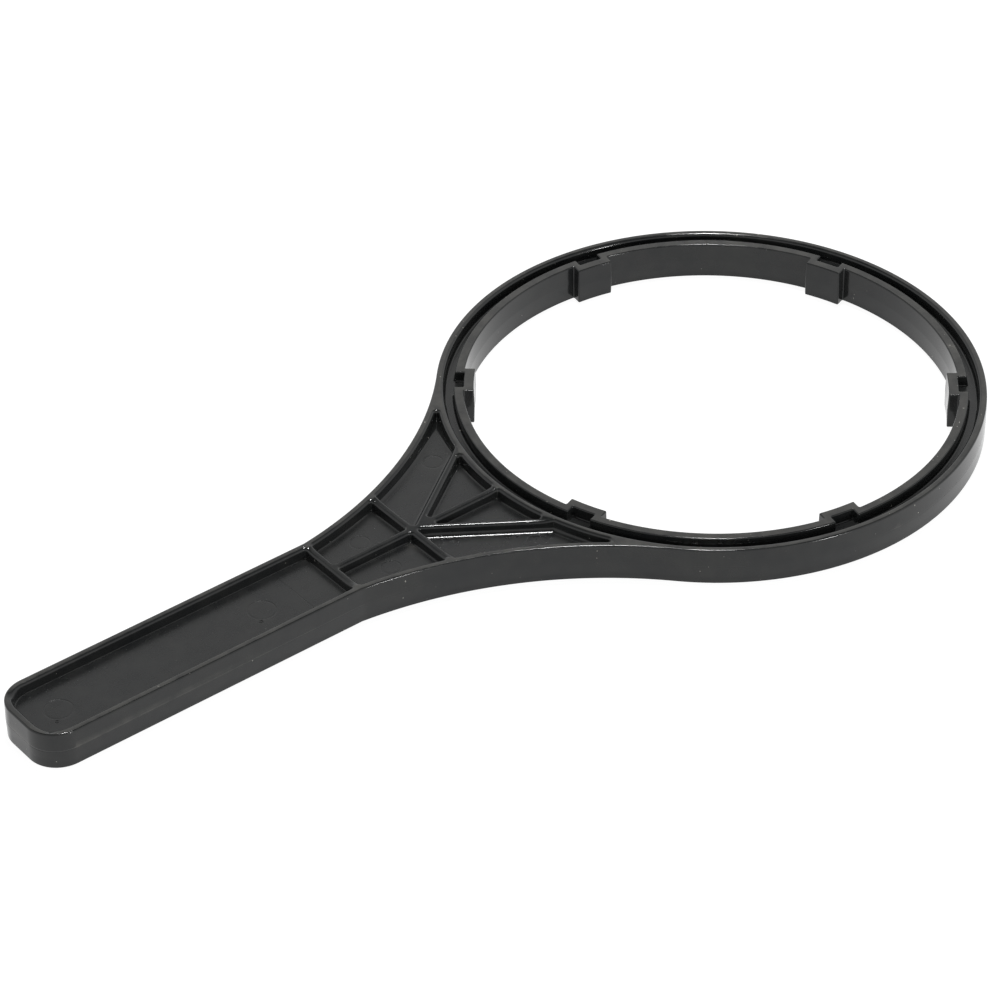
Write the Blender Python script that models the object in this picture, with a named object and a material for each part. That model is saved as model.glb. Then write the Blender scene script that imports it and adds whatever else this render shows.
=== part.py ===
"""Wrench for the threaded ring or bowl of a water filter housing, moulded in one piece of black plastic.

A flat ring with six inward lugs carries a straight handle on a flared neck. Both faces are cored out:
a groove runs round the ring, pockets between ribs lighten the neck, and a long tray fills the handle.
The origin is under the middle of the outline, with the ring toward +X and the handle toward -X.
"""

import math

import bmesh
import bpy
from mathutils import Matrix, Vector

# Driving dimensions, in metres.
HEIGHT = 0.0142
RING_OUTER_RADIUS = 0.1000
RING_BORE_RADIUS = 0.0898
WALL = 0.0031
GROOVE_INNER_RADIUS = 0.0932

LUG_COUNT = 6
LUG_PHASE = math.radians(19.7)
LUG_TIP_RADIUS = 0.0860
LUG_WIDTH = 0.0142
LUG_POCKET_RADIUS = 0.0897
LUG_POCKET_WIDTH = 0.0090

HANDLE_REACH = 0.2980
HANDLE_HALF_WIDTH = 0.0167
HANDLE_CORNER_RADIUS = 0.0115
NECK_ARC_RADIUS = 0.1593
NECK_ARC_REACH = 0.1917

RIB = 0.0033
CROSS_RIB_REACHES = (0.1705, 0.1365)
DIAGONAL_RIB = 0.0027
DIAGONAL_RIB_REACH = 0.1337
DIAGONAL_RIB_ANGLE = math.radians(35)

RIB_DROP = 0.0006
POCKET_DEPTH = 0.0042

RING_STEPS = 144
NECK_STEPS = 20
CORNER_STEPS = 8
OVERCUT = 0.0020

RING_CENTRE = Vector(((HANDLE_REACH - RING_OUTER_RADIUS) / 2, 0, 0))


def clear_scene():
    for obj in list(bpy.data.objects):
        bpy.data.objects.remove(obj, do_unlink=True)


def make_collection(name):
    collection = bpy.data.collections.new(name)
    bpy.context.scene.collection.children.link(collection)
    return collection


def plastic_material():
    material = bpy.data.materials.new("black_plastic")
    material.use_nodes = True
    shader = material.node_tree.nodes["Principled BSDF"]
    shader.inputs["Base Color"].default_value = (0.022, 0.023, 0.024, 1)
    shader.inputs["Roughness"].default_value = 0.38
    shader.inputs["Metallic"].default_value = 0.0
    return material


def add_mesh(name, mesh, collection, place):
    obj = bpy.data.objects.new(name, mesh)
    obj.matrix_world = place
    collection.objects.link(obj)
    return obj


def prism(name, outline, bottom, top, collection):
    """A flat outline around the ring's centre, filled and extruded from one height to the other."""
    curve = bpy.data.curves.new(name, "CURVE")
    curve.dimensions = "2D"
    curve.fill_mode = "BOTH"
    curve.extrude = (top - bottom) / 2
    spline = curve.splines.new("POLY")
    spline.points.add(len(outline) - 1)
    for point, (x, y) in zip(spline.points, outline):
        point.co = (x, y, 0, 1)
    spline.use_cyclic_u = True
    guide = bpy.data.objects.new(name + "_outline", curve)
    guide.matrix_world = Matrix.Translation(RING_CENTRE + Vector((0, 0, (top + bottom) / 2)))
    collection.objects.link(guide)
    bpy.context.view_layer.update()
    graph = bpy.context.evaluated_depsgraph_get()
    mesh = bpy.data.meshes.new_from_object(guide.evaluated_get(graph))
    weld(mesh)
    solid = add_mesh(name, mesh, collection, guide.matrix_world)
    bpy.data.objects.remove(guide)
    bpy.data.curves.remove(curve)
    return solid


def weld(mesh):
    shape = bmesh.new()
    shape.from_mesh(mesh)
    bmesh.ops.remove_doubles(shape, verts=shape.verts, dist=1e-6)
    bmesh.ops.recalc_face_normals(shape, faces=shape.faces)
    shape.to_mesh(mesh)
    shape.free()


def disc(name, radius, bottom, top, collection):
    """An upright cylinder on the ring's axis."""
    shape = bmesh.new()
    bmesh.ops.create_cone(
        shape,
        cap_ends=True,
        segments=RING_STEPS,
        radius1=radius,
        radius2=radius,
        depth=top - bottom,
    )
    mesh = bpy.data.meshes.new(name)
    shape.to_mesh(mesh)
    shape.free()
    place = Matrix.Translation(RING_CENTRE + Vector((0, 0, (top + bottom) / 2)))
    return add_mesh(name, mesh, collection, place)


def bar(name, start, length, width, angle, bottom, top, collection):
    """A box that begins at a point of the ring's plane and runs in one direction, centred on its line."""
    shape = bmesh.new()
    bmesh.ops.create_cube(shape, size=1)
    bmesh.ops.translate(shape, verts=shape.verts, vec=(0.5, 0, 0))
    bmesh.ops.scale(shape, verts=shape.verts, vec=(length, width, top - bottom))
    mesh = bpy.data.meshes.new(name)
    shape.to_mesh(mesh)
    shape.free()
    middle = RING_CENTRE + Vector((start[0], start[1], (top + bottom) / 2))
    place = Matrix.Translation(middle) @ Matrix.Rotation(angle, 4, "Z")
    return add_mesh(name, mesh, collection, place)


def combine(target, tool, operation):
    modifier = target.modifiers.new(f"{operation.lower()}_{tool.name}", "BOOLEAN")
    modifier.operation = operation
    modifier.solver = "EXACT"
    modifier.object = tool
    tool.hide_render = True
    tool.display_type = "WIRE"


def arc(centre, radius, start, end, steps):
    points = []
    for step in range(steps + 1):
        angle = start + (end - start) * step / steps
        points.append((centre[0] + radius * math.cos(angle), centre[1] + radius * math.sin(angle)))
    return points


def mirrored(points):
    return [(x, -y) for x, y in reversed(points)]


def wrench_outline(inset):
    """The outside of the wrench seen from above, anticlockwise, moved inwards by the inset."""
    neck_centre_y = math.sqrt((RING_OUTER_RADIUS + NECK_ARC_RADIUS) ** 2 - NECK_ARC_REACH**2)
    neck_centre = (-NECK_ARC_REACH, neck_centre_y)
    tangent = math.atan2(neck_centre_y, -NECK_ARC_REACH)
    half_width = HANDLE_HALF_WIDTH - inset
    neck_radius = NECK_ARC_RADIUS + inset
    neck_end = -math.acos(math.sqrt(neck_radius**2 - (neck_centre_y - half_width) ** 2) / neck_radius)
    corner_radius = HANDLE_CORNER_RADIUS - inset
    corner_centre = (HANDLE_CORNER_RADIUS - HANDLE_REACH, HANDLE_HALF_WIDTH - HANDLE_CORNER_RADIUS)
    ring = arc((0, 0), RING_OUTER_RADIUS - inset, -tangent, tangent, RING_STEPS)
    neck = arc(neck_centre, neck_radius, tangent - math.pi, neck_end, NECK_STEPS)
    corner = arc(corner_centre, corner_radius, math.pi / 2, math.pi, CORNER_STEPS)
    side = neck[1:] + corner
    return ring + side + mirrored(side)


def neck_hollow(name, collection):
    """What is cut from the top of the neck and handle, round the ribs, which are lower than the walls."""
    floor = HEIGHT - POCKET_DEPTH
    top = HEIGHT + OVERCUT
    rib_top = HEIGHT - RIB_DROP
    hollow = prism(name, wrench_outline(WALL), floor, top, collection)
    kept = [disc("ring_wall", RING_OUTER_RADIUS, floor - OVERCUT, top + OVERCUT, collection)]
    for rib_name, start, length, width, angle in rib_layout():
        kept.append(bar(rib_name, start, length, width, angle, floor - OVERCUT, rib_top, collection))
    for solid in kept:
        combine(hollow, solid, "DIFFERENCE")
    return hollow


def rib_layout():
    """Name, starting point, length, width and direction of each rib that stands in the neck."""
    layout = []
    for number, reach in enumerate(CROSS_RIB_REACHES, start=1):
        half_span = HANDLE_HALF_WIDTH * 2
        layout.append((f"cross_rib_{number}", (-reach, -half_span), 2 * half_span, RIB, math.pi / 2))
    spine_start = -CROSS_RIB_REACHES[0]
    spine_end = WALL - RING_OUTER_RADIUS
    layout.append(("spine_rib", (spine_start, 0), spine_end - spine_start, RIB, 0))
    for name, angle in (("left", DIAGONAL_RIB_ANGLE), ("right", -DIAGONAL_RIB_ANGLE)):
        start = (-DIAGONAL_RIB_REACH - RIB * math.cos(angle), -RIB * math.sin(angle))
        length = (DIAGONAL_RIB_REACH - RING_OUTER_RADIUS) / math.cos(angle) + 2 * RIB
        layout.append((f"diagonal_rib_{name}", start, length, DIAGONAL_RIB, angle))
    return layout


def lug_angles():
    return [math.pi + LUG_PHASE + math.tau * number / LUG_COUNT for number in range(LUG_COUNT)]


def bore(collection):
    """The round opening, with a notch left for each lug."""
    opening = disc("bore", RING_BORE_RADIUS, -OVERCUT, HEIGHT + OVERCUT, collection)
    for number, angle in enumerate(lug_angles(), start=1):
        start = (LUG_TIP_RADIUS * math.cos(angle), LUG_TIP_RADIUS * math.sin(angle))
        lug = bar(
            f"lug_{number}",
            start,
            RING_BORE_RADIUS - LUG_TIP_RADIUS + OVERCUT,
            LUG_WIDTH,
            angle,
            -2 * OVERCUT,
            HEIGHT + 2 * OVERCUT,
            collection,
        )
        combine(opening, lug, "DIFFERENCE")
    return opening


def groove(name, bottom, top, collection):
    """The channel round the ring, which reaches inwards behind each lug."""
    channel = disc(name, RING_OUTER_RADIUS - WALL, bottom, top, collection)
    core = disc(name + "_core", GROOVE_INNER_RADIUS, bottom - OVERCUT, top + OVERCUT, collection)
    for number, angle in enumerate(lug_angles(), start=1):
        start = (LUG_POCKET_RADIUS * math.cos(angle), LUG_POCKET_RADIUS * math.sin(angle))
        pocket = bar(
            f"{name}_lug_pocket_{number}",
            start,
            GROOVE_INNER_RADIUS - LUG_POCKET_RADIUS + OVERCUT,
            LUG_POCKET_WIDTH,
            angle,
            bottom - 2 * OVERCUT,
            top + 2 * OVERCUT,
            collection,
        )
        combine(core, pocket, "DIFFERENCE")
    combine(channel, core, "DIFFERENCE")
    return channel


def turned_over(tool, collection):
    """The same cutter on the underside."""
    copy = add_mesh(tool.name + "_below", tool.data.copy(), collection, tool.matrix_world.copy())
    flip = Matrix.Translation((0, 0, HEIGHT)) @ Matrix.Scale(-1, 4, (0, 0, 1))
    copy.data.transform(copy.matrix_world.inverted() @ flip @ copy.matrix_world)
    copy.data.flip_normals()
    return copy


def applied(obj):
    """The object with its modifiers made part of its mesh."""
    bpy.context.view_layer.update()
    graph = bpy.context.evaluated_depsgraph_get()
    mesh = bpy.data.meshes.new_from_object(obj.evaluated_get(graph))
    obj.modifiers.clear()
    obj.data = mesh
    return obj


def wrench_body(parts, cutters):
    body = prism("wrench_body", wrench_outline(0), 0, HEIGHT, parts)
    body.data.materials.clear()
    body.data.materials.append(plastic_material())
    tools = [
        neck_hollow("neck_hollow", cutters),
        groove("groove", HEIGHT - POCKET_DEPTH, HEIGHT + OVERCUT, cutters),
    ]
    for tool in tools:
        combine(body, applied(tool), "DIFFERENCE")
        combine(body, turned_over(tool, cutters), "DIFFERENCE")
    combine(body, bore(cutters), "DIFFERENCE")
    body.data.shade_smooth()
    body.data.set_sharp_from_angle(angle=math.radians(30))
    return body


def main():
    clear_scene()
    parts = make_collection("filter_housing_wrench")
    cutters = make_collection("cutters")
    wrench_body(parts, cutters)


main()
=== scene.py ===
"""Black plastic wrench for a water filter housing, lying on a pale floor.

The CAD node gives the size and the place. One closed moulding stands for it here, with the rounded rims,
draft, fillets, parting line and ejector pin marks of the real piece.
"""

import math
from types import SimpleNamespace

import bmesh
import bpy
from mathutils import Matrix, Vector


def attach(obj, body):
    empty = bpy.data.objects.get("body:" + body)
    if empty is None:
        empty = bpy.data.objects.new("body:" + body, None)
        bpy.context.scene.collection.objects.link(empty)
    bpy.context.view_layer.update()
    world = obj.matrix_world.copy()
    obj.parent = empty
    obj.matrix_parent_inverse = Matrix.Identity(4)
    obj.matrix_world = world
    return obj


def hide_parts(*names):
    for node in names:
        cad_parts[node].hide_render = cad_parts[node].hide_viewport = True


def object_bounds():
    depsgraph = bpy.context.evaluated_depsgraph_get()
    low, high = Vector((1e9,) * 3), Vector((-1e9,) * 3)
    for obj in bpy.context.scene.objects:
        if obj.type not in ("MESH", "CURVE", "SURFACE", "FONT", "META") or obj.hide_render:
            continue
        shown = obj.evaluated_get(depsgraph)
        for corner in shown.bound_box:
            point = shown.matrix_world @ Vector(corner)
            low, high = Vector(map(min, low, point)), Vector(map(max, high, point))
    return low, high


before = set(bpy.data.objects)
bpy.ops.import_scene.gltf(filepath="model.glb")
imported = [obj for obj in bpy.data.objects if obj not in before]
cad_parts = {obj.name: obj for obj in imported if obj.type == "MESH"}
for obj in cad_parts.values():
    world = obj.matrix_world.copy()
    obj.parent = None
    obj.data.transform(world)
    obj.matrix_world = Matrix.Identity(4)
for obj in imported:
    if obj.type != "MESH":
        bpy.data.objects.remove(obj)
CAD_LOW, CAD_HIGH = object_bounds()

MM = 0.001

# The plan of the wrench, as in the CAD model.
HEIGHT = CAD_HIGH.z - CAD_LOW.z
RING_OUTER_RADIUS = 100.0 * MM
RING_CENTRE = Vector((CAD_HIGH.x - RING_OUTER_RADIUS, (CAD_LOW.y + CAD_HIGH.y) / 2, CAD_LOW.z))
RING_BORE_RADIUS = 89.8 * MM
WALL = 3.1 * MM
GROOVE_INNER_RADIUS = 93.2 * MM
LUG_COUNT = 6
LUG_PHASE = math.radians(19.7)
LUG_TIP_RADIUS = 86.0 * MM
LUG_WIDTH = 14.2 * MM
LUG_POCKET_RADIUS = 89.7 * MM
LUG_POCKET_WIDTH = 9.0 * MM
HANDLE_REACH = RING_CENTRE.x - CAD_LOW.x
HANDLE_HALF_WIDTH = 16.7 * MM
HANDLE_CORNER_RADIUS = 11.5 * MM
NECK_ARC_RADIUS = 159.3 * MM
NECK_ARC_REACH = 191.7 * MM
RIB = 3.3 * MM
CROSS_RIB_NEAR_HANDLE = 170.5 * MM
CROSS_RIB_NEAR_RING = 136.5 * MM
DIAGONAL_RIB = 2.7 * MM
DIAGONAL_RIB_REACH = 133.7 * MM
DIAGONAL_RIB_ANGLE = math.radians(35)
RIB_DROP = 0.6 * MM
POCKET_DEPTH = 4.2 * MM

# The moulding's finer shape.
MIDDLE = HEIGHT / 2
FLOOR = HEIGHT - POCKET_DEPTH
PARTING_LEDGE = 0.05 * MM
OUTER_DRAFT = 0.15 * MM
RIM_ROUND = 0.65 * MM
HOLLOW_ROUND = 1.3 * MM
LOWER_RIM_ROUND = 0.35 * MM
LOWER_CORE_ROUND = 0.15 * MM
CORE_ROUND = 0.5 * MM
BORE_DRAFT = 0.20 * MM
POCKET_DRAFT = 0.12 * MM
FLOOR_FILLET = 0.8 * MM
FLANK_FILLET = 2.0 * MM
TRAY_FILLET = 0.4 * MM
POCKET_FILLETS = [FLANK_FILLET] * 2 + [FLOOR_FILLET] * 4 + [TRAY_FILLET]
RIB_RAMP = 1.6 * MM
RIB_FOOT = 5.0 * MM
POCKET_CORNER = 0.8 * MM
LUG_CORNER = 0.5 * MM
LEAST_CORNER = 0.05 * MM
PIN_MARK_STEP = 0.09 * MM
PIN_MARK_LIP = 0.38 * MM
FLANK_PIN_MARK = ((-104.4 * MM, 29.8 * MM), 3.7 * MM)
CELL_PIN_MARK = ((-152.4 * MM, 8.9 * MM), 3.6 * MM)
TRAY_PIN_MARKS = [((-200.4 * MM, 0.0), 5.0 * MM), ((-282.4 * MM, 0.0), 5.0 * MM)]
PIT_RADIUS = 0.8 * MM
PITS = [(-204.2 * MM, -4.9 * MM), (-286.2 * MM, -4.9 * MM)]
INSERT_LINE_REACH = 186.0 * MM

# How finely the mesh follows the shape.
RING_STEPS = 180
NECK_STEPS = 48
CORNER_STEPS = 8
ROUND_STEPS = 6
WALL_SHARES = (0.05, 0.5, 0.95)
MEETING_ROUNDS = 25
WELD = 0.001 * MM

# The plastic's colours and refraction, and its noises' grains to the metre.
DARK_PLASTIC = (0.0065, 0.0072, 0.0078, 1)
LIGHT_PLASTIC = (0.0125, 0.0130, 0.0125, 1)
# Pale colour for dust, for worn edges, and for the highlight painted along the edges.
DUST_WEAR_AND_HIGHLIGHT_COLOUR = (0.30, 0.29, 0.26, 1)
REFRACTION = 1.40
MOTTLE_GRAINS = 180
CLOUD_GRAINS = 35
SKIN_GRAINS = 2600
STREAK_GRAINS = 700
STREAK_STRETCH = (0.12, 1, 1)
SPECK_GRAINS = 950

# The part of each input's range over which an effect comes in.
SUNK_REACH = 0.4 * MM
RIB_REACH = 0.2 * MM
RIM_REACH = 0.1 * MM
FLAT_SPAN = (0.93, 0.995)
TINT_SPAN = (0.7, 1.3)
MOTTLE_SPAN = (0.35, 0.65)
GLOSS_SPAN = (0.3, 0.7)
CLOUD_SPAN = (0.45, 0.55)
SCUFF_SPAN = (0.60, 0.76)
SPECK_SPAN = (0.86, 0.88)
WEAR_AND_HIGHLIGHT_SPAN = (0.53, 0.62)
INSERT_LINE_SPAN = (0.10 * MM, 0.22 * MM)

# How strong each effect is. The pairs run from glossy to matt, or from the least to the most.
# The pale share on convex edges is partly wear and partly a painted highlight along them.
WEAR_AND_HIGHLIGHT_SHARE = 0.10
WEAR_AND_HIGHLIGHT_MOTTLE = (0.3, 1)
RIM_DUST = (0.03, 0.08)
SPECK_DUST = (0.6, 0.1)
SPECK_CLOUD = (0.2, 1)
RIB_REFLECTION = (0.5, 0.25)
GLOSS_ROUGHNESS = (0.11, 0.17)
MATT_ROUGHNESS = 0.14
RIM_ROUGHNESS = 0.04
SCUFF_ROUGHNESS = 0.06

# Relief in millimetres.
SKIN_RELIEF = (0.002, 0.030)
CLOUD_RELIEF = 0.03
SCUFF_RELIEF = -0.0015
INSERT_LINE_RELIEF = -0.04
PIT_RELIEF = -0.4

# The studio. SKY pairs an elevation in degrees with a brightness.
SKY = [(0, 1.0), (25, 1.0), (42, 0.95), (58, 0.12), (85, 0.06)]
FLOOR_SIZE = 12
FLOOR_GAP = 0.2 * MM
FLOOR_COLOUR = (0.15, 0.15, 0.15, 1)
FLOOR_GRAINS = 400
FLOOR_ROUGHNESS = (0.8, 0.95)
FLOOR_GLOW = 0.92
SOFTBOX_DISTANCE = 4.0
SOFTBOXES = [
    # name, direction from the ring, side in metres, watts
    ("overhead", (0.149, 0.157, 0.976), 0.36, 110),
    ("front", (0.08, -0.975, 0.21), 0.5, 60),
]
CAMERA_LENS = 140.4
SENSOR_WIDTH = 36
CAMERA_AZIMUTH = math.radians(-37.83)
CAMERA_ELEVATION = math.radians(37.248)
CAMERA_ROLL = math.radians(-0.908)
CAMERA_AIM = Vector((0.00130, -0.00008, 0.00732))
CAMERA_DISTANCE = 1.37197


# Outlines


def line_edge(through, angle):
    """A straight edge, with the region on its left. Gives a point's distance inside it, and the way in."""
    normal = Vector((-math.sin(angle), math.cos(angle)))

    def measure(point):
        return normal.dot(point - Vector(through)), normal

    return measure


def arc_edge(centre, radius, region_inside):
    """A round edge, with the region inside or outside its circle."""

    def measure(point):
        spoke = point - Vector(centre)
        if region_inside:
            return radius - spoke.length, -spoke.normalized()
        return spoke.length - radius, spoke.normalized()

    return measure


def meeting_point(first, second, near, depth):
    """The point that lies at one depth inside both edges, close to a given point."""
    point = Vector(near)
    for _ in range(MEETING_ROUNDS):
        first_depth, first_normal = first(point)
        second_depth, second_normal = second(point)
        slopes = Matrix((first_normal, second_normal))
        point = point - slopes.inverted() @ Vector((first_depth - depth, second_depth - depth))
    return point


def turn_points(centre, start, end):
    """Points along a corner's arc."""
    begin = start - centre
    finish = end - centre
    turn = math.atan2(begin.x * finish.y - begin.y * finish.x, begin.dot(finish))
    return [
        centre + Matrix.Rotation(turn * step / CORNER_STEPS, 2) @ begin
        for step in range(CORNER_STEPS + 1)
    ]


def rounded_outline(edges, corners, inset):
    """Points round a region, anticlockwise, moved inwards by the inset.

    corners[i] rounds the turn from edges[i] to the next edge: (radius, point near it, steps along that
    next edge). The radius is negative where the corner points into the region.
    """
    turns = []
    for index, (radius, near, _) in enumerate(corners):
        first, second = edges[index], edges[(index + 1) % len(edges)]
        if radius > 0:
            fillet = max(radius - inset, LEAST_CORNER)
        else:
            fillet = min(radius - inset, -LEAST_CORNER)
        centre = meeting_point(first, second, near, inset + fillet)
        start = centre - first(centre)[1] * fillet
        end = centre - second(centre)[1] * fillet
        turns.append((centre, start, end))
    points = []
    for index, (centre, start, end) in enumerate(turns):
        points.extend(turn_points(centre, start, end))
        edge = edges[(index + 1) % len(edges)]
        following = turns[(index + 1) % len(turns)][1]
        steps = corners[index][2]
        for step in range(1, steps):
            point = end.lerp(following, step / steps)
            depth, normal = edge(point)
            points.append(point + normal * (inset - depth))
    return points


def circle(centre, radius, steps):
    return [
        Vector(centre) + radius * Vector((math.cos(math.tau * k / steps), math.sin(math.tau * k / steps)))
        for k in range(steps)
    ]


def arc(centre, radius, start, end, steps):
    return [
        Vector(centre) + radius * Vector((math.cos(angle), math.sin(angle)))
        for angle in (start + (end - start) * step / steps for step in range(steps + 1))
    ]


def neck_centre():
    """Centre of the neck's upper arc, which touches the ring from outside."""
    reach = NECK_ARC_REACH
    return Vector((-reach, math.sqrt((RING_OUTER_RADIUS + NECK_ARC_RADIUS) ** 2 - reach**2)))


def wrench_outline(inset):
    """The outside of the wrench seen from above, anticlockwise, moved inwards by the inset."""
    centre = neck_centre()
    tangent = math.atan2(centre.y, centre.x)
    half_width = HANDLE_HALF_WIDTH - inset
    radius = NECK_ARC_RADIUS + inset
    neck_end = -math.asin((centre.y - half_width) / radius)
    corner_centre = (HANDLE_CORNER_RADIUS - HANDLE_REACH, HANDLE_HALF_WIDTH - HANDLE_CORNER_RADIUS)
    ring = arc((0, 0), RING_OUTER_RADIUS - inset, -tangent, tangent, RING_STEPS)
    neck = arc(centre, radius, tangent - math.pi, neck_end, NECK_STEPS)
    corner = arc(corner_centre, HANDLE_CORNER_RADIUS - inset, math.pi / 2, math.pi, 2 * CORNER_STEPS)
    side = neck[1:] + corner
    return ring + side + [Vector((point.x, -point.y)) for point in reversed(side)]


def lug_angles():
    return [math.pi + LUG_PHASE + math.tau * number / LUG_COUNT for number in range(LUG_COUNT)]


def polar(radius, angle):
    return Vector((radius * math.cos(angle), radius * math.sin(angle)))


def notched_circle(radius, notch_radius, notch_width, corner, inset):
    """A round region with a straight-sided notch reaching inwards at each lug."""
    edges = []
    corners = []
    half_angle = notch_width / 2 / radius
    for angle in lug_angles():
        middle = polar(radius, angle)
        to_side = polar(notch_width / 2, angle + math.pi / 2)
        before = line_edge(middle - to_side, angle + math.pi)
        after = line_edge(middle + to_side, angle)
        edges += [
            arc_edge((0, 0), radius, True),
            before,
            arc_edge((0, 0), notch_radius, True),
            after,
        ]
        corners += [
            (corner, polar(radius, angle - half_angle), 2),
            (-corner, polar(notch_radius, angle - half_angle), 6),
            (-corner, polar(notch_radius, angle + half_angle), 2),
            (corner, polar(radius, angle + half_angle), RING_STEPS // LUG_COUNT),
        ]
    return rounded_outline(edges, corners, inset)


def bore_outline(inset):
    return notched_circle(RING_BORE_RADIUS, LUG_TIP_RADIUS, LUG_WIDTH, LUG_CORNER, inset)


def core_outline(inset):
    """The inner wall's outer side, which forms the groove's inner side and the pockets behind the lugs."""
    return notched_circle(GROOVE_INNER_RADIUS, LUG_POCKET_RADIUS, LUG_POCKET_WIDTH, LUG_CORNER, inset)


def groove_outline(inset):
    return circle((0, 0), RING_OUTER_RADIUS - WALL - inset, RING_STEPS + RING_STEPS // 3)


def below(outline):
    """The same outline on the other side of the handle's line."""
    return lambda inset: [Vector((point.x, -point.y)) for point in reversed(outline(inset))]


def pocket_outlines():
    """One function for each pocket of the neck and handle, from an inset to its outline.

    They come in the order flank, flank, wedge, wedge, cell, cell, tray.
    """
    ring = arc_edge((0, 0), RING_OUTER_RADIUS, False)
    neck = arc_edge(neck_centre(), NECK_ARC_RADIUS + WALL, False)
    across = math.pi / 2
    ring_side = line_edge((-CROSS_RIB_NEAR_RING + RIB / 2, 0), -across)
    handle_side = line_edge((-CROSS_RIB_NEAR_RING - RIB / 2, 0), across)
    far_side = line_edge((-CROSS_RIB_NEAR_HANDLE + RIB / 2, 0), -across)
    tray_start = line_edge((-CROSS_RIB_NEAR_HANDLE - RIB / 2, 0), across)
    spine = line_edge((0, RIB / 2), 0)
    offset = DIAGONAL_RIB / 2 / math.cos(DIAGONAL_RIB_ANGLE)
    above_diagonal = line_edge((-DIAGONAL_RIB_REACH, offset), DIAGONAL_RIB_ANGLE)
    below_diagonal = line_edge((-DIAGONAL_RIB_REACH, -offset), DIAGONAL_RIB_ANGLE + math.pi)

    def flank(inset):
        corners = [
            (POCKET_CORNER, (-0.092, 0.045), 24),
            (POCKET_CORNER, (-0.134, 0.022), 4),
            (POCKET_CORNER, (-0.134, 0.001), 12),
            (POCKET_CORNER, (-0.097, 0.026), 10),
        ]
        return rounded_outline([ring, neck, ring_side, above_diagonal], corners, inset)

    def wedge(inset):
        corners = [
            (POCKET_CORNER, (-0.099, 0.022), 8),
            (POCKET_CORNER, (-0.127, 0.002), 8),
            (POCKET_CORNER, (-0.100, 0.002), 8),
        ]
        return rounded_outline([ring, below_diagonal, spine], corners, inset)

    def cell(inset):
        corners = [
            (POCKET_CORNER, (-0.139, 0.020), 16),
            (POCKET_CORNER, (-0.168, 0.014), 4),
            (POCKET_CORNER, (-0.168, 0.002), 8),
            (POCKET_CORNER, (-0.139, 0.002), 4),
        ]
        return rounded_outline([handle_side, neck, far_side, spine], corners, inset)

    def tray(inset):
        half_width = HANDLE_HALF_WIDTH - WALL
        end = -HANDLE_REACH + WALL
        end_corner = HANDLE_CORNER_RADIUS - WALL
        edges = [
            tray_start,
            line_edge((0, half_width), math.pi),
            line_edge((end, 0), -across),
            line_edge((0, -half_width), 0),
        ]
        corners = [
            (POCKET_CORNER, (-0.173, 0.012), 24),
            (end_corner, (end + 0.006, 0.008), 4),
            (end_corner, (end + 0.006, -0.008), 24),
            (POCKET_CORNER, (-0.173, -0.012), 8),
        ]
        return rounded_outline(edges, corners, inset)

    return [flank, below(flank), wedge, below(wedge), cell, below(cell), tray]


def pin_marks():
    """The round marks that the ejector pins leave, as (centre, radius), in the order of the pockets."""

    def mirrored(mark):
        (x, y), radius = mark
        return ((x, -y), radius)

    flanks = [[FLANK_PIN_MARK], [mirrored(FLANK_PIN_MARK)]]
    wedges = [[], []]
    cells = [[CELL_PIN_MARK], [mirrored(CELL_PIN_MARK)]]
    return flanks + wedges + cells + [TRAY_PIN_MARKS]


# Building the mesh


def add_loop(shape, points, height):
    return [shape.verts.new((point.x, point.y, height)) for point in points]


def bridge(shape, loops):
    for lower, upper in zip(loops, loops[1:]):
        count = len(lower)
        for k in range(count):
            following = (k + 1) % count
            shape.faces.new((lower[k], lower[following], upper[following], upper[k]))


def fill(shape, loops):
    """A flat face between an outer loop and the loops inside it."""
    edges = []
    for loop in loops:
        for start, end in zip(loop, loop[1:] + loop[:1]):
            edges.append(shape.edges.get((start, end)) or shape.edges.new((start, end)))
    bmesh.ops.triangle_fill(shape, edges=edges, use_beauty=True, normal=(0, 0, 1))


def quarter_round(radius):
    """(distance in from the side, distance down from the top) from the side up to the top."""
    angles = [math.pi / 2 * k / ROUND_STEPS for k in range(ROUND_STEPS + 1)]
    return [(radius * (1 - math.cos(angle)), radius * (1 - math.sin(angle))) for angle in angles]


def sides(start, end):
    """Steps up a drafted wall, without its ends. The close ones keep the wear, and the highlight painted
    with it, on the edges.
    """
    return [
        (start[0] + (end[0] - start[0]) * share, start[1] + (end[1] - start[1]) * share)
        for share in WALL_SHARES
    ]


def rim_profile(edge_round):
    """(inset, height) from the parting line up the outer wall and over its edge."""
    edge = [(OUTER_DRAFT + inset, HEIGHT - drop) for inset, drop in quarter_round(edge_round)]
    start = (0.0, MIDDLE + PARTING_LEDGE)
    return [(PARTING_LEDGE, MIDDLE), start] + sides(start, edge[0]) + edge


def sunk_profile(round_radius, fillet_radius=FLOOR_FILLET):
    """(inset into the hollow, height) from the flat round it over its edge, down its wall to its floor."""
    edge = [(-inset, HEIGHT - drop) for inset, drop in reversed(quarter_round(round_radius))]
    fillet = [(POCKET_DRAFT + inset, FLOOR + rise) for inset, rise in quarter_round(fillet_radius)]
    return edge + fillet


def bore_profile(edge_round):
    """(inset, height) from the parting line up the drafted bore and over its edge."""
    edge = [(-inset, HEIGHT - drop) for inset, drop in quarter_round(edge_round)]
    start = (BORE_DRAFT, MIDDLE)
    return [start] + sides(start, edge[0]) + edge


def family(shape, outline, profile, side=1):
    """Bridged loops of one outline, each at its own inset and height."""
    loops = [add_loop(shape, outline(side * inset), height) for inset, height in profile]
    bridge(shape, loops)
    return loops


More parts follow.
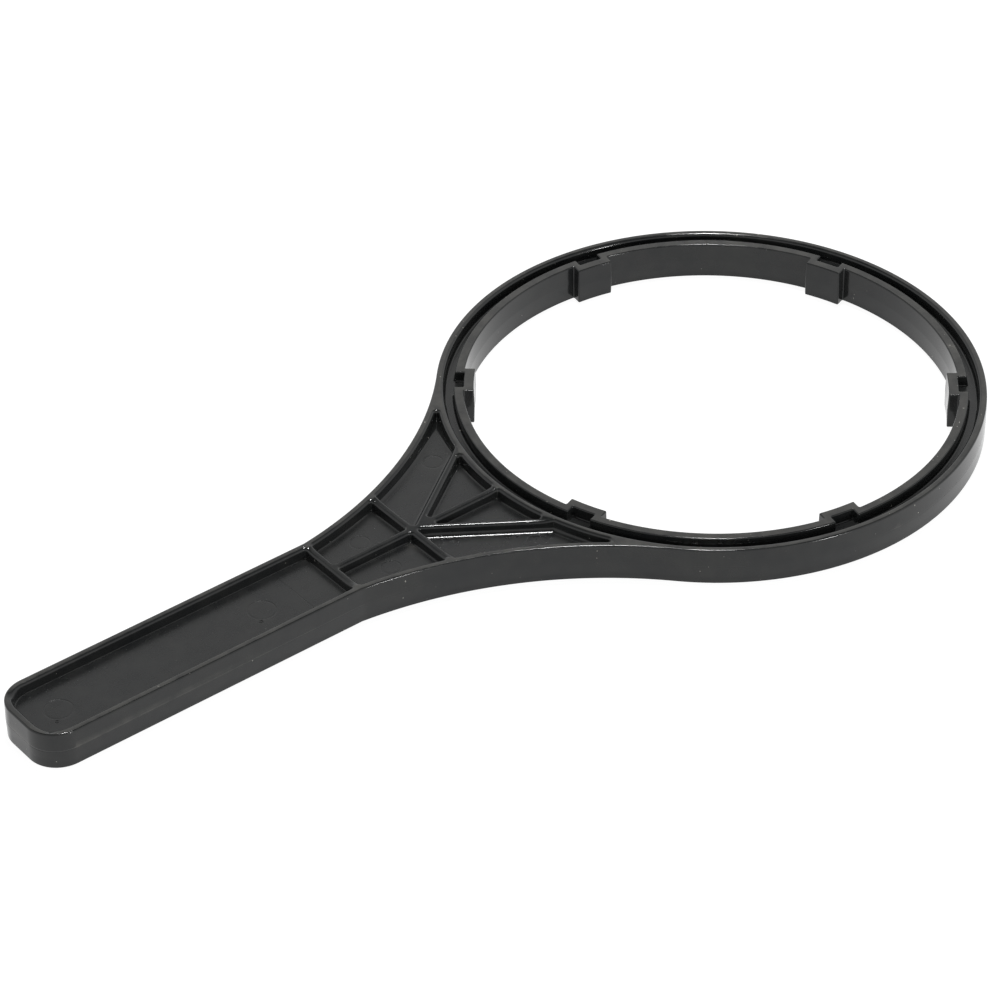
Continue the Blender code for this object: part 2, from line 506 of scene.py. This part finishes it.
def rib_share(point):
    """0 on the rim and the ring's wall, rising smoothly to 1 on the ribs between them."""
    edges = [
        arc_edge((0, 0), RING_OUTER_RADIUS, False),
        line_edge((WALL - HANDLE_REACH, 0), -math.pi / 2),
    ]
    if point.x < -NECK_ARC_REACH:
        edges.append(line_edge((0, WALL - HANDLE_HALF_WIDTH), 0))
        edges.append(line_edge((0, HANDLE_HALF_WIDTH - WALL), math.pi))
    else:
        centre = neck_centre()
        edges.append(arc_edge(centre, NECK_ARC_RADIUS + WALL, False))
        edges.append(arc_edge((centre.x, -centre.y), NECK_ARC_RADIUS + WALL, False))
    depth = min(edge(point)[0] for edge in edges)
    share = max(0.0, min(1.0, depth / RIB_RAMP))
    return share * share * (3 - 2 * share)


def lower_ribs(pockets):
    """Drops the ribs' tops below the rim, with a ramp where they meet it."""
    for loops in pockets:
        for loop in loops:
            for vert in loop:
                if vert.co.z > MIDDLE + RIB_FOOT:
                    vert.co.z -= RIB_DROP * rib_share(vert.co.to_2d())


def pin_mark(shape, mark):
    """The shallow round step that an ejector pin leaves on a floor. Gives the loop round it."""
    centre, radius = mark
    steps = 6 * CORNER_STEPS
    lip = PIN_MARK_LIP
    profile = [
        (radius + lip, FLOOR),
        (radius + lip / 3, FLOOR - PIN_MARK_STEP / 2),
        (radius, FLOOR - PIN_MARK_STEP),
        (radius - lip / 2, FLOOR - PIN_MARK_STEP / 2),
        (radius - 2 * lip, FLOOR - PIN_MARK_STEP / 3),
    ]
    loops = [add_loop(shape, circle(centre, size, steps), height) for size, height in profile]
    bridge(shape, loops)
    fill(shape, [loops[-1]])
    return loops[0]


def half_moulding(shape, rim_round, core_round):
    """The upper half: from the parting line over the rim, into every hollow, and down the bore."""
    rim = family(shape, wrench_outline, rim_profile(rim_round))
    groove = family(shape, groove_outline, sunk_profile(HOLLOW_ROUND))
    core = family(shape, core_outline, sunk_profile(CORE_ROUND), side=-1)
    bore = family(shape, bore_outline, bore_profile(core_round))
    pockets = [
        family(shape, outline, sunk_profile(HOLLOW_ROUND, fillet))
        for outline, fillet in zip(pocket_outlines(), POCKET_FILLETS)
    ]
    fill(shape, [rim[-1], groove[0]] + [pocket[0] for pocket in pockets])
    fill(shape, [core[0], bore[-1]])
    fill(shape, [groove[-1], core[-1]])
    for pocket, marks in zip(pockets, pin_marks()):
        fill(shape, [pocket[-1]] + [pin_mark(shape, mark) for mark in marks])
    lower_ribs(pockets)


def moulding():
    """The whole wrench as one closed mesh, with a sharper edge where it lies on the floor."""
    shape = bmesh.new()
    half_moulding(shape, LOWER_RIM_ROUND, LOWER_CORE_ROUND)
    for vert in shape.verts:
        vert.co.z = HEIGHT - vert.co.z
    half_moulding(shape, RIM_ROUND, CORE_ROUND)
    bmesh.ops.remove_doubles(shape, verts=shape.verts, dist=WELD)
    bmesh.ops.recalc_face_normals(shape, faces=shape.faces)
    bmesh.ops.translate(shape, verts=shape.verts, vec=RING_CENTRE)
    mesh = bpy.data.meshes.new("wrench_moulding")
    shape.to_mesh(mesh)
    shape.free()
    mesh.shade_smooth()
    obj = bpy.data.objects.new("wrench_moulding", mesh)
    bpy.context.scene.collection.objects.link(obj)
    smoothing = obj.modifiers.new("weighted_normals", "WEIGHTED_NORMAL")
    smoothing.keep_sharp = True
    return obj


# Looks


def add_node(tree, kind, **settings):
    node = tree.nodes.new(kind)
    for name, value in settings.items():
        setattr(node, name, value)
    return node


def set_socket(tree, socket, value):
    """Sets a socket to a value, or links it to another node's output."""
    if isinstance(value, bpy.types.NodeSocket):
        tree.links.new(value, socket)
    else:
        socket.default_value = value


def feed(tree, node, **inputs):
    """Sets a node's inputs by name, each to a value or to another node's output."""
    for name, value in inputs.items():
        set_socket(tree, node.inputs[name.replace("_", " ")], value)
    return node


def noise(tree, place, grains, detail, stretch=(1, 1, 1)):
    """Noise from 0 to 1, with its number of grains to the metre, stretched along the axes."""
    mapping = feed(tree, add_node(tree, "ShaderNodeMapping"), Vector=place, Scale=stretch)
    texture = add_node(tree, "ShaderNodeTexNoise")
    feed(tree, texture, Vector=mapping.outputs["Vector"], Scale=grains, Detail=detail)
    return texture.outputs["Fac"]


def mapped(tree, value, span, result=(0, 1)):
    """A value carried from one range to another, and held at its ends."""
    node = add_node(tree, "ShaderNodeMapRange")
    feed(tree, node, Value=value, From_Min=span[0], From_Max=span[1], To_Min=result[0], To_Max=result[1])
    return node.outputs["Result"]


def mixed(tree, share, first, second):
    """One colour carried towards another by a share."""
    node = add_node(tree, "ShaderNodeMix", data_type="RGBA")
    return feed(tree, node, Factor=share, A=first, B=second).outputs["Result"]


def component(tree, vector, axis):
    return feed(tree, add_node(tree, "ShaderNodeSeparateXYZ"), Vector=vector).outputs[axis]


def maths(tree, operation, *values):
    node = add_node(tree, "ShaderNodeMath", operation=operation)
    for socket, value in zip(node.inputs, values):
        set_socket(tree, socket, value)
    return node.outputs["Value"]


def total(tree, values):
    result = values[0]
    for value in values[1:]:
        result = maths(tree, "ADD", result, value)
    return result


def product(tree, *values):
    result = values[0]
    for value in values[1:]:
        result = maths(tree, "MULTIPLY", result, value)
    return result


def distance_from(tree, value, target):
    return maths(tree, "ABSOLUTE", maths(tree, "SUBTRACT", value, target))


def level_share(tree, place, level, reach):
    """1 on flat surfaces at one height above or below the middle, 0 at the reach from it and on walls."""
    from_middle = distance_from(tree, component(tree, place, "Z"), CAD_LOW.z + MIDDLE)
    from_level = distance_from(tree, from_middle, level)
    near_level = mapped(tree, from_level, (reach / 4, reach), (1, 0))
    normal = add_node(tree, "ShaderNodeNewGeometry").outputs["Normal"]
    steepness = maths(tree, "ABSOLUTE", component(tree, normal, "Z"))
    return product(tree, near_level, mapped(tree, steepness, FLAT_SPAN))


def surface_zones(tree, place):
    """Shares from 0 to 1 of the sunk floors, the ribs' tops, the rims, and all that is matt."""
    sunk = level_share(tree, place, FLOOR - MIDDLE, SUNK_REACH)
    rib = level_share(tree, place, MIDDLE - RIB_DROP, RIB_REACH)
    rim = level_share(tree, place, MIDDLE, RIM_REACH)
    return SimpleNamespace(sunk=sunk, rib=rib, rim=rim, matt=maths(tree, "MAXIMUM", sunk, rib))


def surface_patterns(tree, place):
    """What varies the surface: mottle, clouds, the skin's grain, scuffs, specks, and worn edges that also
    carry a painted highlight.
    """
    mottle = noise(tree, place, MOTTLE_GRAINS, 5)
    streaks = noise(tree, place, STREAK_GRAINS, 4, STREAK_STRETCH)
    edges = add_node(tree, "ShaderNodeNewGeometry").outputs["Pointiness"]
    wear_and_highlight_mottle = mapped(tree, mottle, MOTTLE_SPAN, WEAR_AND_HIGHLIGHT_MOTTLE)
    return SimpleNamespace(
        mottle=mottle,
        cloud=noise(tree, place, CLOUD_GRAINS, 3),
        skin=noise(tree, place, SKIN_GRAINS, 3),
        scuff=mapped(tree, streaks, SCUFF_SPAN),
        speck=mapped(tree, noise(tree, place, SPECK_GRAINS, 0), SPECK_SPAN),
        # Convex edges, found by pointiness: pale wear, and with it a painted highlight line.
        wear_and_highlight=product(tree, mapped(tree, edges, WEAR_AND_HIGHLIGHT_SPAN), wear_and_highlight_mottle),
    )


def insert_line(tree, place):
    """1 along the line that the mould's insert leaves across the tray."""
    distance = distance_from(tree, component(tree, place, "X"), RING_CENTRE.x - INSERT_LINE_REACH)
    return mapped(tree, distance, INSERT_LINE_SPAN, (1, 0))


def pits(tree, place):
    """1 in the small pits beside the tray's pin marks."""
    shares = []
    for x, y in PITS:
        spot = add_node(tree, "ShaderNodeVectorMath", operation="DISTANCE")
        set_socket(tree, spot.inputs[0], place)
        set_socket(tree, spot.inputs[1], RING_CENTRE + Vector((x, y, FLOOR)))
        shares.append(mapped(tree, spot.outputs["Value"], (0.4 * PIT_RADIUS, PIT_RADIUS), (1, 0)))
    return total(tree, shares)


def plastic_colour(tree, zones, patterns):
    """Charcoal, with a pale trace on edges that is partly wear and partly a painted highlight, and dust on
    rims and in specks.
    """
    tint_share = mapped(tree, total(tree, [patterns.mottle, patterns.cloud]), TINT_SPAN)
    tint = mixed(tree, tint_share, DARK_PLASTIC, LIGHT_PLASTIC)
    rim_dust = mapped(tree, patterns.mottle, MOTTLE_SPAN, RIM_DUST)
    speck_dust = mapped(tree, zones.matt, (0, 1), SPECK_DUST)
    speck_cloud = mapped(tree, patterns.cloud, CLOUD_SPAN, SPECK_CLOUD)
    shares = [
        # Worn edges: partly real wear, partly a painted highlight.
        product(tree, patterns.wear_and_highlight, WEAR_AND_HIGHLIGHT_SHARE),
        product(tree, zones.rim, rim_dust),
        product(tree, patterns.speck, speck_dust, speck_cloud),
    ]
    return mixed(tree, total(tree, shares), tint, DUST_WEAR_AND_HIGHLIGHT_COLOUR)


def plastic_roughness(tree, zones, patterns):
    shares = [
        mapped(tree, patterns.mottle, GLOSS_SPAN, GLOSS_ROUGHNESS),
        product(tree, zones.matt, MATT_ROUGHNESS),
        product(tree, zones.rim, RIM_ROUGHNESS),
        product(tree, patterns.scuff, SCUFF_ROUGHNESS),
    ]
    return total(tree, shares)


def plastic_normal(tree, place, zones, patterns):
    """The normal that the skin's grain, the scuffs, the pits and the insert's line leave."""
    skin_relief = mapped(tree, zones.matt, (0, 1), SKIN_RELIEF)
    heights = [
        product(tree, patterns.skin, skin_relief),
        product(tree, insert_line(tree, place), zones.sunk, INSERT_LINE_RELIEF),
        product(tree, pits(tree, place), PIT_RELIEF),
        product(tree, patterns.cloud, CLOUD_RELIEF),
        product(tree, patterns.scuff, SCUFF_RELIEF),
    ]
    bump = add_node(tree, "ShaderNodeBump")
    feed(tree, bump, Height=total(tree, heights), Distance=MM, Strength=1.0)
    return bump.outputs["Normal"]


def new_material(name):
    material = bpy.data.materials.new(name)
    material.use_nodes = True
    tree = material.node_tree
    place = add_node(tree, "ShaderNodeTexCoord").outputs["Object"]
    return material, tree, tree.nodes["Principled BSDF"], place


def plastic():
    """Charcoal moulded plastic: glossier rims, matt hollows, a fine grain, scuffs, dust, and worn edges
    that carry a painted highlight.
    """
    material, tree, shader, place = new_material("charcoal_plastic")
    zones = surface_zones(tree, place)
    patterns = surface_patterns(tree, place)
    feed(
        tree,
        shader,
        Base_Color=plastic_colour(tree, zones, patterns),
        Roughness=plastic_roughness(tree, zones, patterns),
        Normal=plastic_normal(tree, place, zones, patterns),
        IOR=REFRACTION,
        Specular_IOR_Level=mapped(tree, zones.rib, (0, 1), RIB_REFLECTION),
    )
    return material


def floor_material():
    """White paper lit from behind."""
    material, tree, shader, place = new_material("pale_floor")
    feed(
        tree,
        shader,
        Base_Color=FLOOR_COLOUR,
        Roughness=mapped(tree, noise(tree, place, FLOOR_GRAINS, 4), (0, 1), FLOOR_ROUGHNESS),
        Emission_Color=(1, 1, 1, 1),
        Emission_Strength=FLOOR_GLOW,
    )
    return material


def add_floor():
    bpy.ops.mesh.primitive_plane_add(size=FLOOR_SIZE, location=(0, 0, CAD_LOW.z - FLOOR_GAP))
    floor = bpy.context.object
    floor.name = "floor"
    floor.data.materials.append(floor_material())


def add_camera():
    """A long lens, looking down on the wrench from the handle's near side."""
    camera = bpy.data.objects.new("camera", bpy.data.cameras.new("camera"))
    camera.data.lens = CAMERA_LENS
    camera.data.sensor_width = SENSOR_WIDTH
    across = math.cos(CAMERA_ELEVATION)
    toward = Vector(
        (
            math.sin(CAMERA_AZIMUTH) * across,
            -math.cos(CAMERA_AZIMUTH) * across,
            math.sin(CAMERA_ELEVATION),
        )
    )
    camera.location = CAMERA_AIM + toward * CAMERA_DISTANCE
    level_turn = toward.to_track_quat("Z", "Y").to_matrix()
    camera.rotation_euler = (level_turn @ Matrix.Rotation(CAMERA_ROLL, 3, "Z")).to_euler()
    bpy.context.scene.collection.objects.link(camera)
    bpy.context.scene.camera = camera


def add_softbox(name, direction, side, power):
    """A square light that faces the ring from a distance."""
    light = bpy.data.lights.new(name, "AREA")
    light.shape = "SQUARE"
    light.size = side
    light.energy = power
    lamp = bpy.data.objects.new(name, light)
    direction = Vector(direction).normalized()
    lamp.location = RING_CENTRE + direction * SOFTBOX_DISTANCE
    lamp.rotation_euler = direction.to_track_quat("Z", "Y").to_euler()
    bpy.context.scene.collection.objects.link(lamp)


def add_world():
    """A white surround, which fades to a dim ceiling."""
    world = bpy.data.worlds.new("studio")
    world.use_nodes = True
    tree = world.node_tree
    direction = add_node(tree, "ShaderNodeTexCoord").outputs["Generated"]
    ramp = add_node(tree, "ShaderNodeValToRGB")
    stops = ramp.color_ramp.elements
    stops.remove(stops[0])
    for elevation, brightness in SKY:
        stop = stops.new(math.sin(math.radians(elevation)))
        stop.color = (brightness, brightness, brightness, 1)
    stops.remove(stops[-1])
    feed(tree, ramp, Fac=component(tree, direction, "Z"))
    feed(tree, tree.nodes["Background"], Color=ramp.outputs["Color"], Strength=1.0)
    bpy.context.scene.world = world


wrench = moulding()
wrench.data.materials.append(plastic())
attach(wrench, "root")
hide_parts("wrench_body")

add_floor()
add_camera()
for softbox in SOFTBOXES:
    add_softbox(*softbox)
add_world()
bpy.context.scene.view_settings.view_transform = "Standard"
